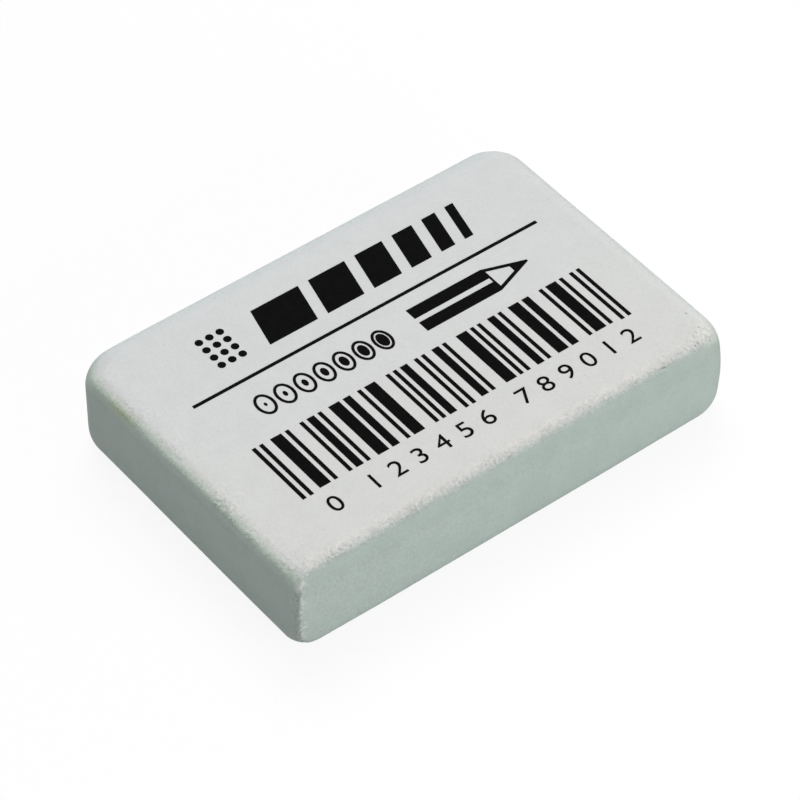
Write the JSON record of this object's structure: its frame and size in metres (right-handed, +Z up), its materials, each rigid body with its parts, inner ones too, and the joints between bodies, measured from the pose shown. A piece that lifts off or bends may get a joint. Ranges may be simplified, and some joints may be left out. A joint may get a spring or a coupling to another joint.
{
  "type": "rubber eraser",
  "caption": "Flat rectangular block of pale grey-green rubber with softly rounded edges, three corners worn round and one that kept its ridge, for rubbing out pencil marks.",
  "frame": {"origin": "under the middle of the block, on its bottom face", "axes": "+X along the length, +Y across the width towards the top of the print, +Z up through the thickness, out of the printed face"},
  "size_m": [0.041, 0.0286, 0.008],
  "materials": {
    "rubber": "chalk-filled white rubber, matt, whiter and neutral on the two large faces and faintly green on the cut sides",
    "print": "thin black printing ink on the top face, matt"
  },
  "bodies": {
    "root": {"eraser": "rubber"}
  },
  "joints": []
}
